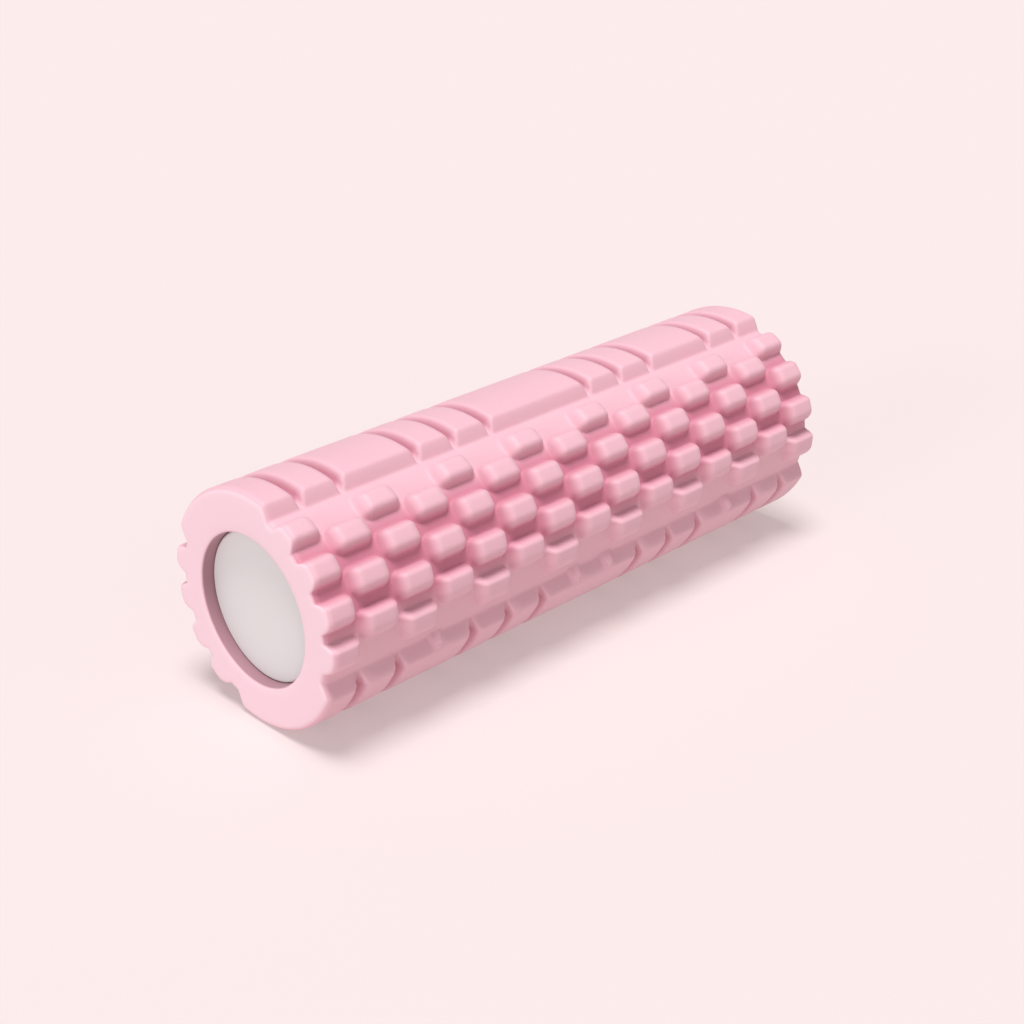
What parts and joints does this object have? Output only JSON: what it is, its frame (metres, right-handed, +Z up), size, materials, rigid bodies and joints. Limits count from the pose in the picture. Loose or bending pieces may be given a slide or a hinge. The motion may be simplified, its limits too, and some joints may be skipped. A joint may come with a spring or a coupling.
{
  "type": "foam roller",
  "caption": "Short round massage roller: a firm foam sleeve with bands of nubs and grooved blocks over a rigid hollow core, closed by push-in end caps.",
  "frame": {"origin": "on the floor, under the middle of the roller as it lies on its side", "axes": "+X along the roller's axis towards the right end cap, +Z up, with a band of smooth blocks on top and a band of nubs to the front (-Y)"},
  "size_m": [0.29, 0.1, 0.1],
  "materials": {
    "eva_foam": "matte",
    "core_plastic": "satin",
    "cap_plastic": "satin"
  },
  "bodies": {
    "roller": {"foam_sleeve": "eva_foam", "core_tube": "core_plastic"},
    "left_cap": {"left_end_cap": "cap_plastic"},
    "right_cap": {"right_end_cap": "cap_plastic"}
  },
  "joints": [
    {"name": "left_cap_pull", "type": "slide", "parent": "roller", "child": "left_cap", "axis": [-1, 0, 0], "range_m": [0, 0.04]},
    {"name": "right_cap_pull", "type": "slide", "parent": "roller", "child": "right_cap", "axis": [1, 0, 0], "range_m": [0, 0.04]}
  ]
}
